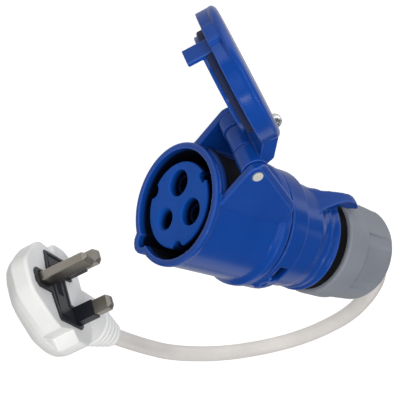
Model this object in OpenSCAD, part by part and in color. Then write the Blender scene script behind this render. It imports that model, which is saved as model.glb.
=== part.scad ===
// Adapter lead: industrial 16 A coupler with a hinged lid, a short cable and a 13 A plug.
// X runs rearward along the coupler axis from the mouth, Y points to the lid hinge, Z is up.
// The lead lies on its side, with the lid open.

/* [Coupler shell] */
// Radius of the rim around the mouth
rim_r = 25.8; // [24:0.1:30]
// Length of the rim
rim_len = 3; // [2:0.5:6]
// How far the rim stands proud of the shroud
rim_rise = 0.8; // [0.4:0.1:1.5]
// Wall of the shroud
shroud_wall = 2; // [1.5:0.1:2.4]
// Length of the coupler's front shell
shell_len = 41; // [38:0.5:50]
// How far the flange at the back of the front shell stands proud of the rim
flange_rise = 1.2; // [0.4:0.1:1.4]
// Width of that flange
flange_w = 3.5; // [2:0.5:6]
// Depth of the mouth down to the inner ledge
mouth_depth = 30; // [24:0.5:32]
// Thickness of the inner ledge
ledge_t = 2; // [1.5:0.1:3]
// How far the ledge stands in from the bore
ledge_h = 2.5; // [1.5:0.1:3]
// Radius of the keyway groove
key_r = 3; // [2:0.1:4]
// Wall over the keyway
key_wall = 2.6; // [2:0.1:3.5]
// How far the keyway groove reaches past the bore
key_depth = 3.3; // [2:0.1:4]

/* [Contact carrier] */
// Radius of the contact carrier
carrier_r = 18.2; // [17:0.1:18.6]
// Recess of the carrier's face behind the rim
carrier_recess = 1.7; // [0.5:0.1:4]
// Thickness of the carrier's seating flange
carrier_flange_t = 4; // [3:0.5:5]
// How far the carrier's back stands behind that flange
carrier_back = 4; // [3:0.5:6]
// Pitch radius of the three contacts
contact_pitch_r = 9.26; // [8.8:0.01:10]
// Bore of the live and neutral contacts
contact_bore_d = 5.1; // [4.8:0.1:5.6]
// Bore of the earth contact
earth_bore_d = 7.1; // [6.8:0.1:7.4]
// Wall of the contact tubes
contact_wall = 1.3; // [0.8:0.1:1.5]
// Radius of the live and neutral entry wells
well_r = 5.6; // [5:0.1:5.8]
// Depth of the entry wells
well_depth = 9; // [8:0.5:10]
// Depth of the inner sleeves behind the carrier's face
sleeve_recess = 3.5; // [2:0.5:6]
// Depth of the contacts behind the carrier's face
contact_recess = 10.5; // [10.5:0.5:13]
// Width of the earth hole's countersink ring
countersink = 1.5; // [1:0.1:2]
// Length of the terminal blocks
terminal_len = 10; // [8:0.5:12]
// Radius of the terminal screws
screw_r = 1.7; // [1.4:0.1:2]
// Half width of the notch on the carrier's hinge side
notch_half_w = 2.4; // [2:0.1:4]
// Depth of the three carrier notches
notch_depth = 2.7; // [2:0.1:3.2]

/* [Lid and hinge] */
// Angle that the lid stands open
lid_open = 120.5; // [90:0.5:125]
// Hinge axis behind the mouth
hinge_x = 7.6; // [7:0.1:9]
// Hinge axis out from the rim
hinge_rise = 11.5; // [11:0.1:14]
// Radius of the ears around the hinge axis
ear_r = 5.1; // [4.6:0.1:5.6]
// Thickness of the ears
ear_t = 3.2; // [2.5:0.1:4]
// Rounding of the ears' back edges
ear_round = 3.2; // [1:0.1:4]
// Gap between the ears
ear_gap = 28.6; // [26:0.1:30]
// Height of the ears where they meet the flange
ear_back_rise = 3.4; // [2:0.1:5]
// Radius of the hinge pin
pin_r = 2.2; // [1.6:0.1:2.4]
// Running clearance of the hinge pin
pin_clear = 0.06; // [0.02:0.01:0.1]
// Radius of the hinge barrel
barrel_r = 5.1; // [4.6:0.1:5.3]
// How far the barrel's two ends stand proud of its middle
barrel_rise = 0.4; // [0.2:0.1:0.6]
// Width of the grooves between them
barrel_groove = 0.9; // [0.5:0.1:1.2]
// Gap between the barrel and each ear
barrel_gap = 0.5; // [0.3:0.1:1]
// How far the closed lid stays off the rim
lid_gap = 0.3; // [0.3:0.05:0.6]
// Angle from the lid's tip where the skirt starts to swell
swell_start_a = 13; // [11:1:20]
// Angle from the lid's tip where the skirt reaches the bead
swell_end_a = 40; // [30:1:60]
// Half angle of the thick block at the lid's tip
tip_half_a = 10; // [8:1:11]
// Depth of the lid's skirt, without the bead
skirt_len = 4.1; // [3.5:0.1:6]
// Width of the rounded bead around the lid
bead_w = 4; // [3:0.1:5]
// How far the bead stands proud of the skirt
bead_h = 1.7; // [1:0.1:2.2]
// Wall of the lid
lid_wall = 2.3; // [1.8:0.1:2.8]
// How far the lid's inner ring enters the mouth
ring_reach = 4.1; // [3:0.1:6]
// Wall of the lid's inner ring
ring_wall = 1; // [0.8:0.1:1.1]
// Thickness of the gasket sleeve around the inner ring
gasket_t = 1.3; // [1:0.1:1.6]
// How far the gasket's front stays behind the ring's front
gasket_back = 1.5; // [0.5:0.1:2]
// Thickness of the retaining nose
nose_t = 2; // [1.6:0.1:2.2]
// How far the retaining nose enters the mouth
nose_reach = 9.8; // [8:0.1:12]
// Half width of the retaining nose
nose_half_w = 3.6; // [3:0.1:5]
// Half width of the lid's hinge arm
arm_half_w = 12.5; // [10:0.1:12.8]
// Radius of the lid's rivet head
rivet_r = 2.9; // [2.4:0.1:3.6]

/* [Rear housing and gland] */
// Radius of the rear housing's flange
rear_flange_r = 26.2; // [25:0.1:27]
// Radius of the rear housing behind its flange
rear_r = 22.9; // [22.5:0.1:24]
// Taper of the rear housing over its length
rear_taper = 0.2; // [0:0.1:1.5]
// Wall of the rear housing
rear_wall = 3.2; // [2.5:0.1:3.6]
// Length of the rear housing behind the front shell, without the neck
rear_len = 33.5; // [31:0.5:40]
// Radius of the neck that carries the nut
neck_r = 18.6; // [17:0.1:19]
// Length of the neck
neck_len = 16; // [12:0.5:18]
// Length of the rear housing's flange
rear_flange_w = 9.4; // [8:0.1:10]
// Depth of the groove between the two shells
seam_depth = 2.1; // [1:0.1:2.4]
// Width of that groove
seam_w = 1.4; // [0.8:0.1:2]
// Half width of the snap windows
window_half_w = 4; // [3:0.1:6]
// Half width of the cowl at its tip
cowl_half_w = 2.2; // [1:0.1:3]
// How much wider the cowl's foot is, on each side
cowl_spread = 7.3; // [6:0.1:9]
// Height of the cowl over the coupler axis
cowl_top = 29.4; // [28.5:0.1:30.5]
// Thickness of the black seal around the neck
seal_wall = 2.9; // [2:0.1:3.5]
// Width of the black seal
seal_w = 6; // [4:0.1:8]
// Thickness of the gland nut's collar around the neck
nut_wall = 4.7; // [4:0.1:4.8]
// Length of the nut's collar
nut_collar = 11.5; // [9:0.5:14]
// Length of the gland nut
nut_len = 33.5; // [31:0.5:36]
// Depth of the nut's grip grooves
grip_depth = 0.8; // [0.4:0.1:1.2]
// Width of the nut's grip grooves
grip_w = 5; // [3:0.5:7]
// Number of grip grooves
grip_count = 6; // [5:1:9]

/* [Cable] */
// Diameter of the cable
cable_d = 7.8; // [7:0.1:8.4]
// Diameter of one insulated core
core_d = 2.6; // [2.2:0.1:2.8]
// Straight length of a core behind its terminal
core_straight = 4; // [2:0.5:6]
// Length over which the cores draw together
core_bend = 6; // [4:0.5:8]
// Clearance of the nut's cable hole
gland_clear = 0.5; // [0.3:0.1:1]

/* [Plug] */
// Depth of the plug body behind its face
plug_depth = 18.5; // [18:0.5:22]
// Distance from the plug face back to the cable axis
plug_cable_y = 10.5; // [10:0.5:12]
// Depth of the finger notches in the plug's sides
grip_depth_y = 10; // [6:0.5:12]
// Where the finger notches are deepest, from the earth pin
grip_x = 16; // [12:0.5:18]
// Half width of the plug at the finger notches
grip_z = 18.5; // [17.5:0.1:20]
// Where the plug's strain relief ends, from the earth pin
relief_end = 77.5; // [74:0.5:84]
// Radius of the strain relief at the body
relief_r = 11; // [9:0.1:11.5]
// Radius of the strain relief at its end
relief_end_r = 5.6; // [4.8:0.1:6]
// Depth of the relief's grooves
relief_groove = 0.7; // [0.4:0.1:0.8]
// Number of grooves in the strain relief
relief_grooves = 5; // [3:1:7]
// Spacing of the live and neutral pins
pin_spacing = 22.2; // [22:0.1:22.4]
// Distance from the earth pin to the other pins' line
pin_row = 22.2; // [22:0.1:22.4]
// Length of the earth pin
earth_pin_len = 22.7; // [22.2:0.1:23.2]
// Width of the earth pin
earth_pin_w = 4; // [3.9:0.1:4.1]
// Depth of the earth pin
earth_pin_t = 8; // [7.8:0.1:8.1]
// Length of the live and neutral pins
power_pin_len = 17.7; // [17.2:0.1:18.2]
// Width of the live and neutral pins
power_pin_w = 6.35; // [6.2:0.05:6.5]
// Thickness of the live and neutral pins
power_pin_t = 4; // [3.9:0.05:4.1]
// Length of the insulating sleeves
sleeve_len = 9.5; // [9:0.1:9.5]
// Thickness of the insulating sleeves
sleeve_t = 0.4; // [0.3:0.1:0.5]
// Width of the pin carrier's raised border
carrier_border = 1.2; // [0.8:0.1:1.6]
// Depth of the pin carrier in the plug face
pin_carrier_t = 6; // [4:0.5:7]
// How far the pin carrier stands proud of the face
pin_carrier_proud = 0.6; // [0.3:0.1:1]
// Length of the fuse
fuse_len = 25.4; // [25:0.1:25.8]
// Diameter of the fuse
fuse_d = 6.35; // [6.2:0.05:6.5]

/* [Hidden] */
$fn = 64;
fit = 0.3;
shroud_r = rim_r - rim_rise;
flange_r = rim_r + flange_rise;
bore_r = shroud_r - shroud_wall;
ledge_back = mouth_depth + ledge_t;
ledge_r = bore_r - ledge_h;
carrier_flange_r = bore_r - fit;
carrier_flange_end = ledge_back + carrier_flange_t;
carrier_end = carrier_flange_end + carrier_back;
live_a = 60;
neutral_a = -60;
earth_a = 180;
contact_r = contact_bore_d / 2 + contact_wall;
earth_r = earth_bore_d / 2 + contact_wall;
contact_front = carrier_recess + contact_recess;
terminal_wall = 0.3;
terminal_end = carrier_end + terminal_len;
screw_x = carrier_end + 0.4 * terminal_len;

hinge_y = rim_r + hinge_rise;
ear_in = ear_gap / 2;
ear_out = ear_in + ear_t;
ear_back_x = shell_len - flange_w - 0.7;
ear_back_y = shroud_r + ear_back_rise;
barrel_half = ear_in - barrel_gap;
spring_pocket_r = barrel_r - 1.4;
groove_far = -7.8;
groove_near = 3.4;
spring_pocket_len = 7;
spring_wire_r = 0.4;
spring_r = (pin_r + spring_pocket_r) / 2;
spring_turns = 5;
skirt_r = rim_r - 0.3;
bead_r = skirt_r + bead_h;
skirt_x = -lid_gap;
bead_x = skirt_x - skirt_len;
face_x = bead_x - bead_w;
lid_floor_x = face_x + lid_wall;
gasket_r = bore_r - 2.1;
ring_r = gasket_r - gasket_t;
nose_r = gasket_r + 0.1;
rivet_y = hinge_y - 4.4;
rivet_x = face_x + 0.4;

rear_end = shell_len + rear_len;
spigot_r = bore_r - fit;
neck_end = rear_end + neck_len;
seal_r = neck_r + seal_wall;
nut_r = neck_r + nut_wall;
nut_x = rear_end + seal_w;
nut_end = nut_x + nut_len;
cable_r = cable_d / 2;
core_r = core_d / 2;
neck_bore_r = 12;
lug_r = rear_flange_r + 1.2;
lug_a = 108;

plug_at = [-28.7, -55.9, 1.1];
plug_turn = [6.6, 9.4, -23.4];
carrier_lobe_w = 4.4;
carrier_band_w = 16.5;
carrier_band_0 = 4.4;
carrier_band_1 = 19;
carrier_leg_in = 6.2;
carrier_leg_1 = pin_row + power_pin_t / 2 + 1.7;
fuse_d_pos = 11.7;
fuse_plate_w = 13.6;
fuse_plate_h = 4.1;
fuse_plate_t = 1.8;
fuse_gap = 0.2;
sleeve_w = power_pin_w + 2 * sleeve_t;

cable_route = [
    [84, 0, 0], [98, 0, 0], [112, 0, 0], [122, -1.5, -0.3], [131, -6, -1], [138, -13, -2.2],
    [144, -22, -4], [150, -33, -6.8], [154.5, -46, -10], [156.5, -63, -15], [153.5, -79, -19.4],
    [146, -91, -22.2], [135, -99.5, -23.3], [120, -106, -23.3], [104.5, -110, -23.3],
    [88, -111, -22.5], [72, -107.8, -20.2], [58, -103, -16.9], [45, -98.5, -14.2],
    [38.4, -96, -12.9], [24, -89.8, -10.3]
];

blue = [0.10, 0.26, 0.58];
grey = [0.55, 0.57, 0.61];
black = [0.05, 0.05, 0.06];
brass = [0.80, 0.65, 0.35];
steel = [0.75, 0.75, 0.77];
white = [0.93, 0.93, 0.92];
cable_grey = [0.80, 0.78, 0.76];
pin_metal = [0.75, 0.69, 0.58];

// Points around an arc in a plane.
function arc(c, r, a0, a1, n) = [for (i = [0:n]) let (a = a0 + (a1 - a0) * i / n)
    c + r * [cos(a), sin(a)]];

// A corner of an outline, rounded off by the length r along both sides.
function round_corner(a, b, c, r, n) = let (
        p = b + r * (a - b) / norm(a - b),
        q = b + r * (c - b) / norm(c - b))
    [for (i = [0:n]) let (t = i / n) (1 - t) * (1 - t) * p + 2 * t * (1 - t) * b + t * t * q];

function round_outline(pts, r, n) = let (m = len(pts)) [for (i = [0:m - 1])
    each round_corner(pts[(i + m - 1) % m], pts[i], pts[(i + 1) % m], r, n)];

// Direction of a path at point i, and a frame across it.
function heading(p, i) = let (d = p[min(i + 1, len(p) - 1)] - p[max(i - 1, 0)]) d / norm(d);
function across(d) = let (s = cross(d, [0, 0, 1])) s / norm(s);

// A round tube along a path, with one ring of points at each path point.
module tube(path, r, sides) {
    m = len(path);
    rings = [for (i = [0:m - 1]) let (
            d = heading(path, i),
            s = across(d),
            u = cross(s, d))
        each [for (k = [0:sides - 1]) path[i] + r * (cos(360 * k / sides) * s
            + sin(360 * k / sides) * u)]];
    walls = [for (i = [0:m - 2]) each [for (k = [0:sides - 1]) let (
            a = i * sides + k,
            b = i * sides + (k + 1) % sides)
        [a, a + sides, b + sides, b]]];
    first = [for (k = [0:sides - 1]) k];
    last = [for (k = [sides - 1:-1:0]) (m - 1) * sides + k];
    polyhedron(rings, concat(walls, [first, last]), convexity = 6);
}

// A closed skin over outlines that all have the same number of points.
module skin(sections) {
    n = len(sections[0]);
    m = len(sections);
    walls = [for (i = [0:m - 2]) each [for (k = [0:n - 1]) let (
            a = i * n + k,
            b = i * n + (k + 1) % n)
        [a, b, b + n, a + n]]];
    first = [for (k = [n - 1:-1:0]) k];
    last = [for (k = [0:n - 1]) (m - 1) * n + k];
    polyhedron([for (s = sections) each s], concat(walls, [first, last]), convexity = 4);
}

// A solid of revolution about X, from points given as [x, radius].
module revolve(pts) {
    rotate([0, 90, 0])
        rotate_extrude()
            polygon([for (p = pts) [p[1], p[0]]]);
}

// A sector of such a solid, centred on the direction a degrees from +Y towards +Z.
module revolve_sector(pts, a, half) {
    rotate([0, 90, 0])
        rotate_extrude(angle = 2 * half, start = 90 + a - half)
            polygon([for (p = pts) [p[1], p[0]]]);
}

module bar(r, x0, x1) {
    translate([x0, 0, 0])
        rotate([0, 90, 0])
            cylinder(r = r, h = x1 - x0);
}

// Puts its children at a contact's place, a degrees from +Y.
module at_contact(a) {
    translate([0, contact_pitch_r * cos(a), contact_pitch_r * sin(a)])
        children();
}

module lid_pose() {
    translate([hinge_x, hinge_y, 0])
        rotate([0, 0, -lid_open])
            translate([-hinge_x, -hinge_y, 0])
                children();
}

// The plug's own frame: X to the cable, Y along the pins, Z across to the live pin.
module plug_pose() {
    translate(plug_at)
        rotate(plug_turn)
            children();
}

module ear(side) {
    back = [ear_back_x, ear_back_y];
    hub = [hinge_x, hinge_y];
    lead = atan2(back[1] - hub[1], back[0] - hub[0]);
    tangent = lead + acos(ear_r / norm(back - hub));
    outline = concat(
        [[ear_back_x, shroud_r / 2], [hinge_x - ear_r, shroud_r / 2]],
        arc(hub, ear_r, 180, tangent, 10),
        [back]);
    difference() {
        translate([0, 0, side > 0 ? ear_in : -ear_out])
            linear_extrude(ear_t)
                polygon(outline);
        translate([hub[0], hub[1], side * ear_out])
            rotate([0, 0, tangent - 90])
                translate([0, ear_r, 0])
                    rotate([45, 0, 0])
                        cube([4 * shell_len, ear_round, ear_round], center = true);
    }
}

module socket_housing() {
    flange_x = shell_len - 0.5 - flange_w;
    key_y = -(bore_r + key_depth - key_r);
    pocket_r = (bore_r + shroud_r) / 2 - 0.2;
    color(blue)
    difference() {
        union() {
            revolve([[0, 0], [0, rim_r - 0.7], [0.2, rim_r - 0.2], [0.7, rim_r],
                [rim_len - 0.4, rim_r], [rim_len, shroud_r], [flange_x - 2, shroud_r],
                [flange_x, flange_r - 0.4], [flange_x + 0.4, flange_r],
                [shell_len - 0.4, flange_r], [shell_len, flange_r - 0.4], [shell_len, 0]]);
            translate([0, key_y, 0])
                bar(key_r + key_wall, 0, mouth_depth);
            revolve_sector([[4, bore_r + 0.5], [4, rim_r - 0.3], [5, rim_r + 0.6],
                [7, rim_r + 0.6], [8, rim_r - 0.3], [8, bore_r + 0.5]], 6, 30);
            ear(1);
            ear(-1);
        }
        revolve_sector([[9, pocket_r], [9, rim_r + 1.4], [ear_back_x - 2, rim_r + 1.4],
            [ear_back_x - 2, pocket_r]], 0, 30);
        bar(bore_r, -1, mouth_depth);
        bar(ledge_r, mouth_depth - 1, ledge_back + 1);
        bar(bore_r, ledge_back, shell_len + 1);
        translate([0, key_y, 0])
            bar(key_r, -1, mouth_depth - 2);
        translate([hinge_x, hinge_y, -ear_out - 1])
            cylinder(r = pin_r, h = 2 * ear_out + 2);
    }
}

module contact_carrier() {
    entry_r = earth_bore_d / 2 + 0.3;
    color(blue)
    difference() {
        union() {
            revolve([[carrier_recess, 0], [carrier_recess, carrier_r - 0.5],
                [carrier_recess + 0.5, carrier_r], [ledge_back + 1, carrier_r],
                [ledge_back + 1, 0]]);
            bar(carrier_flange_r, ledge_back, carrier_flange_end);
            bar(carrier_r - 0.4, carrier_flange_end - 1, carrier_end);
        }
        for (a = [live_a, neutral_a])
            at_contact(a) {
                bar(well_r, carrier_recess - 1, carrier_recess + sleeve_recess);
                difference() {
                    bar(well_r, carrier_recess, carrier_recess + well_depth);
                    bar(contact_r + 0.4, carrier_recess, carrier_recess + well_depth + 1);
                }
                bar(contact_bore_d / 2 + 0.4, carrier_recess, contact_front + 1);
                bar(contact_r, contact_front, carrier_end + 1);
            }
        at_contact(earth_a) {
            revolve([[carrier_recess - 0.1, 0],
                [carrier_recess - 0.1, earth_bore_d / 2 + countersink + 0.1],
                [carrier_recess + countersink, entry_r], [contact_front + 1, entry_r],
                [contact_front + 1, 0]]);
            bar(earth_r, contact_front, carrier_end + 1);
        }
        translate([carrier_recess - 1, carrier_r - notch_depth, -notch_half_w])
            cube([mouth_depth - 6, 2 * notch_depth, 2 * notch_half_w]);
        for (a = [120, -120])
            rotate([a, 0, 0])
                translate([0, carrier_r + 0.4, 0])
                    bar(notch_depth + 0.4, carrier_recess - 1, mouth_depth - 6);
    }
}

// A turned contact: slotted tube in front, terminal block with a wire hole behind.
module contact(a, bore, outer) {
    block_r = outer + terminal_wall;
    at_contact(a)
    difference() {
        union() {
            bar(outer, contact_front, carrier_end + 1);
            bar(block_r, carrier_end, terminal_end);
        }
        bar(bore, contact_front - 1, carrier_flange_end);
        bar(core_r, screw_x - screw_r, terminal_end + 1);
        translate([screw_x, 0, 0])
            rotate([a, 0, 0])
                rotate([-90, 0, 0])
                    cylinder(r = screw_r, h = block_r + 1);
    }
}

module live_contact() {
    color(brass)
        contact(live_a, contact_bore_d / 2, contact_r);
}

module neutral_contact() {
    color(brass)
        contact(neutral_a, contact_bore_d / 2, contact_r);
}

module earth_contact() {
    color(brass)
        contact(earth_a, earth_bore_d / 2, earth_r);
}

module terminal_screw(a, block_r) {
    head = 1.2;
    slot_w = 0.6;
    at_contact(a)
    translate([screw_x, 0, 0])
    rotate([a, 0, 0])
    rotate([-90, 0, 0])
    translate([0, 0, core_r])
    difference() {
        cylinder(r = screw_r, h = block_r - core_r + head);
        translate([-screw_r - 1, -slot_w / 2, block_r - core_r + head / 2])
            cube([2 * screw_r + 2, slot_w, head]);
    }
}

module terminal_screws() {
    color(steel) {
        terminal_screw(live_a, contact_r + terminal_wall);
        terminal_screw(neutral_a, contact_r + terminal_wall);
        terminal_screw(earth_a, earth_r + terminal_wall);
    }
}

module rear_housing() {
    end_r = rear_r - rear_taper;
    inner_r = end_r - rear_wall + 0.6;
    seam_r = rear_flange_r - seam_depth;
    flange_x = shell_len + seam_w;
    flange_end = flange_x + rear_flange_w;
    color(blue)
    difference() {
        union() {
            revolve([[carrier_flange_end, 0], [carrier_flange_end, spigot_r],
                [shell_len, spigot_r], [shell_len, seam_r], [flange_x, seam_r],
                [flange_x + 0.1, rear_flange_r - 0.4], [flange_x + 0.5, rear_flange_r],
                [flange_end - 0.5, rear_flange_r], [flange_end, rear_flange_r - 0.5],
                [flange_end + 0.6, rear_r], [rear_end - 11, end_r + 0.2],
                [rear_end - 8.5, end_r - 0.6], [rear_end - 6, end_r - 0.6],
                [rear_end - 5, end_r + 0.1], [rear_end - 4.4, end_r - 0.7],
                [rear_end - 2.2, end_r - 0.7], [rear_end - 1, end_r + 0.4],
                [rear_end, end_r + 0.1], [rear_end, neck_r], [neck_end - 1, neck_r],
                [neck_end, neck_r - 1], [neck_end, 0]]);
            cowl();
            revolve_sector([[flange_x + 0.8, seam_r], [flange_x + 1.4, lug_r - 0.8],
                [flange_x + 2.2, lug_r], [flange_x + 5, lug_r], [flange_end, rear_r],
                [flange_end, rear_r - 2]], lug_a, 11);
        }
        revolve([[carrier_flange_end - 1, 0], [carrier_flange_end - 1, ledge_r],
            [carrier_flange_end + 8, inner_r], [rear_end - 10, inner_r],
            [rear_end - 4, neck_bore_r], [neck_end + 1, neck_bore_r], [neck_end + 1, 0]]);
        for (side = [0, 180])
            rotate([side, 0, 0])
                translate([shell_len + 4.5, -1 - window_half_w, inner_r - 4])
                    cube([4.5, 2 * window_half_w, 12]);
        translate([flange_x + 3.6, (lug_r + 1.8) * cos(lug_a), (lug_r + 1.8) * sin(lug_a)])
            sphere(r = 2.8);
        for (i = [0:7])
            rotate([45 * i, 0, 0])
                translate([neck_end - 6, neck_bore_r - 1, -0.6])
                    cube([8, neck_r, 1.2]);
    }
}

// Height of the cowl along its run, from 0 at the foot to 1 at the tip.
function cowl_rise(t) = let (h = 0.8) t < h
    ? rear_r - 2.4 + (cowl_top - rear_r + 2.2) * sin(90 * pow(t / h, 1.3))
    : cowl_top - 0.2 - 2.6 * pow((t - h) / (1 - h), 2);

function cowl_section(x, t, low) = let (
        w = cowl_half_w + cowl_spread * pow(1 - t, 2),
        top = cowl_rise(t))
    [for (p = [[0.55 * w, low], [0.75 * w, top - 1.4], [w, top - 0.3], [0.5 * w, top],
            [-0.5 * w, top], [-w, top - 0.3], [-0.75 * w, top - 1.4], [-0.55 * w, low]])
        [x, p[1], p[0]]];

// Cowl that rises off the rear housing and ends in a beak over the seal.
module cowl() {
    start = shell_len + 16;
    tip = rear_end + 9.9;
    lip = rear_end - 0.4;
    under = nut_r + fit + 0.1;
    stations = concat([for (i = [0:5]) start + (lip - 1 - start) * i / 5],
        [for (i = [0:5]) lip + (tip - lip) * i / 5]);
    skin([for (x = stations) let (t = (x - start) / (tip - start))
        cowl_section(x, t, x < lip ? rear_r - 4 : under + 1.2 * max(0, (x - nut_x) / (tip - nut_x)))]);
}

module gland_seal() {
    color(black)
    difference() {
        revolve([[rear_end, 0], [rear_end, seal_r - 0.5], [rear_end + 0.5, seal_r],
            [nut_x - 0.5, seal_r], [nut_x, seal_r - 0.5], [nut_x, 0]]);
        bar(neck_r, rear_end - 1, nut_x + 1);
    }
}

module cable_grommet() {
    color(black)
    difference() {
        revolve([[rear_end + 4, 0], [rear_end + 4, neck_bore_r], [neck_end, neck_bore_r],
            [nut_end - 8, cable_r + 3], [nut_end - 8, 0]]);
        bar(cable_r, rear_end, nut_end);
    }
}

module gland_nut() {
    hole_r = cable_r + gland_clear;
    collar_end = nut_x + nut_collar;
    grip_len = nut_len - nut_collar - 5.5;
    flat_r = nut_r - 0.8;
    color(grey)
    difference() {
        revolve([[nut_x, 0], [nut_x, nut_r - 0.7], [nut_x + 0.7, nut_r], [collar_end, nut_r],
            [collar_end + 1, flat_r], [nut_end - 5, flat_r - 1.2], [nut_end - 2.5, flat_r - 2.6],
            [nut_end - 0.8, flat_r - 5], [nut_end, flat_r - 8], [nut_end, 0]]);
        bar(neck_r, nut_x - 1, neck_end);
        revolve([[neck_end - 0.1, 0], [neck_end - 0.1, neck_r], [neck_end + 1, neck_r],
            [nut_end - 8, cable_r + 3], [nut_end - 6, hole_r], [nut_end + 1, hole_r],
            [nut_end + 1, 0]]);
        for (i = [0:grip_count - 1])
            rotate([360 * (i + 0.5) / grip_count, 0, 0])
                translate([collar_end + 1, flat_r - 0.8 - grip_depth, -grip_w / 2])
                    cube([grip_len, 8, grip_w]);
    }
}

// Radius of the lid's skirt at an angle from the tip: a thick block, a recess, then out to the bead.
function skirt_at(d) = d < tip_half_a ? bead_r - 0.5 : skirt_r + (bead_r - 0.2 - skirt_r)
    * max(0, min(1, (d - swell_start_a) / (swell_end_a - swell_start_a)));

module lid() {
    arm_x = bead_x - 2.5;
    color(blue)
    lid_pose()
    difference() {
        union() {
            revolve([[face_x + 0.2, 0], [face_x, skirt_r - 1.5], [face_x + 0.2, skirt_r],
                [face_x + 0.8, bead_r - 0.6], [face_x + 1.4, bead_r - 0.15],
                [(face_x + bead_x) / 2, bead_r], [bead_x - 1.2, bead_r - 0.15],
                [bead_x - 0.6, bead_r - 0.6], [bead_x, skirt_r], [skirt_x, skirt_r],
                [skirt_x, skirt_r - lid_wall], [lid_floor_x, skirt_r - lid_wall],
                [lid_floor_x, 0]]);
            translate([bead_x - 1, 0, 0])
                rotate([90, 0, 90])
                    linear_extrude(skirt_x - bead_x + 1)
                        difference() {
                            polygon([for (a = [0:3:357]) skirt_at(abs(180 - a)) * [cos(a), sin(a)]]);
                            circle(skirt_r - lid_wall);
                        }
            difference() {
                bar(ring_r, lid_floor_x - 0.5, ring_reach);
                bar(ring_r - ring_wall, lid_floor_x - 1, ring_reach + 1);
            }
            translate([lid_floor_x - 0.5, -nose_r, -nose_half_w])
                cube([nose_reach - lid_floor_x + 0.5, nose_t, 2 * nose_half_w]);
            translate([0, 0, -arm_half_w])
                linear_extrude(2 * arm_half_w)
                    polygon([[hinge_x - 8.8, hinge_y + 0.5], [arm_x, hinge_y - 10],
                        [arm_x, skirt_r - 4], [skirt_x - 0.5, skirt_r - 2],
                        [skirt_x - 0.2, rim_r + 0.4], [hinge_x - 4, hinge_y - 3.5],
                        [hinge_x, hinge_y - 3.5], [hinge_x, hinge_y + 3.5]]);
            translate([hinge_x, hinge_y, -barrel_half])
                cylinder(r = barrel_r, h = 2 * barrel_half);
            for (z = [[-barrel_half, groove_far], [groove_near + barrel_groove, barrel_half]])
                translate([hinge_x, hinge_y, z[0]])
                    cylinder(r = barrel_r + barrel_rise, h = z[1] - z[0]);
            translate([rivet_x, rivet_y - rivet_r, -rivet_r])
                cube([0.8 - rivet_x, 2 * rivet_r, 2 * rivet_r]);
        }
        translate([hinge_x, hinge_y, -ear_in])
            cylinder(r = pin_r + pin_clear, h = ear_gap);
        translate([hinge_x, hinge_y, -ear_in])
            cylinder(r = spring_pocket_r, h = spring_pocket_len + barrel_gap);
        for (z = [groove_far, groove_near])
            translate([hinge_x, hinge_y, z])
                difference() {
                    cylinder(r = barrel_r + 1, h = barrel_groove);
                    translate([0, 0, -1])
                        cylinder(r = barrel_r - 0.7, h = 3);
                    translate([-20, -10, -1])
                        cube([18, 20, 3]);
                }
        translate([0, rivet_y, 0])
            bar(1.5, rivet_x - 1, rivet_x + 3);
    }
}

module lid_gasket() {
    front = ring_reach - gasket_back;
    color(grey)
    lid_pose()
    difference() {
        revolve([[lid_floor_x, 0], [lid_floor_x, gasket_r], [front - 0.5, gasket_r],
            [front, gasket_r - 0.5], [front, 0]]);
        bar(ring_r, lid_floor_x - 1, front + 1);
        translate([lid_floor_x - 1, -nose_r - 1, -nose_half_w])
            cube([nose_reach - lid_floor_x + 2, nose_t + 2, 2 * nose_half_w]);
    }
}

module lid_rivet() {
    dome = 2.8;
    color(steel)
    lid_pose()
    translate([rivet_x, rivet_y, 0])
    difference() {
        union() {
            revolve(concat([[0, 0], [0, rivet_r]],
                [for (i = [1:5]) [-dome * sin(18 * i), rivet_r * cos(18 * i)]]));
            bar(1.5, -0.5, 3);
        }
        translate([-dome - 1, -0.5, -rivet_r])
            cube([1.8, 1, 2 * rivet_r]);
    }
}

module hinge_pin() {
    color(steel)
    translate([hinge_x, hinge_y, 0])
    rotate_extrude()
        polygon([[0, -ear_out - 0.4], [pin_r - 0.3, -ear_out - 0.4], [pin_r, -ear_out - 0.1],
            [pin_r, ear_out + 0.1], [pin_r - 0.3, ear_out + 0.4], [0, ear_out + 0.4]]);
}

module lid_spring() {
    steps = 12;
    start = -ear_in + spring_wire_r;
    rise = 2 * spring_wire_r + 0.2;
    color(steel)
    translate([hinge_x, hinge_y, 0])
        tube([for (i = [0:spring_turns * steps]) let (a = 360 * i / steps)
            [spring_r * cos(a), spring_r * sin(a), start + rise * i / steps]], spring_wire_r, 6);
}

// One insulated core from its terminal to the end of the cable's jacket.
module core(a) {
    y = contact_pitch_r * cos(a);
    z = contact_pitch_r * sin(a);
    k = (core_r + 0.15) / sin(60) / contact_pitch_r;
    tube([
        [screw_x, y, z], [terminal_end, y, z], [terminal_end + core_straight, y, z],
        [terminal_end + core_straight + core_bend, 0.85 * y, 0.85 * z],
        [rear_end + 1, 1.15 * k * y, 1.15 * k * z], [rear_end + core_bend, k * y, k * z],
        [cable_route[0][0], k * y, k * z]], core_r, 8);
}

module live_core() {
    color([0.42, 0.25, 0.15])
        core(live_a);
}

module neutral_core() {
    color([0.20, 0.40, 0.75])
        core(neutral_a);
}

module earth_core() {
    color([0.45, 0.65, 0.20])
        core(earth_a);
}

module cable() {
    color(cable_grey)
        tube(cable_route, cable_r, 12);
}

// The plug's outline across its depth: sides draw in and the earth end slopes to the back.
function plug_outline(y, kw, kd) = let (
        half = [[-12, 7], [3, 20.3], [17, 23.9], [28, 23.9], [35, 16]],
        all = concat(half, [for (i = [4:-1:0]) [half[i][0], -half[i][1]]]),
        pts = round_outline(all, 4.5, 4))
    [for (p = pts) [30 + (p[0] - 30) * kd, y, p[1] * kw]];

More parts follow.
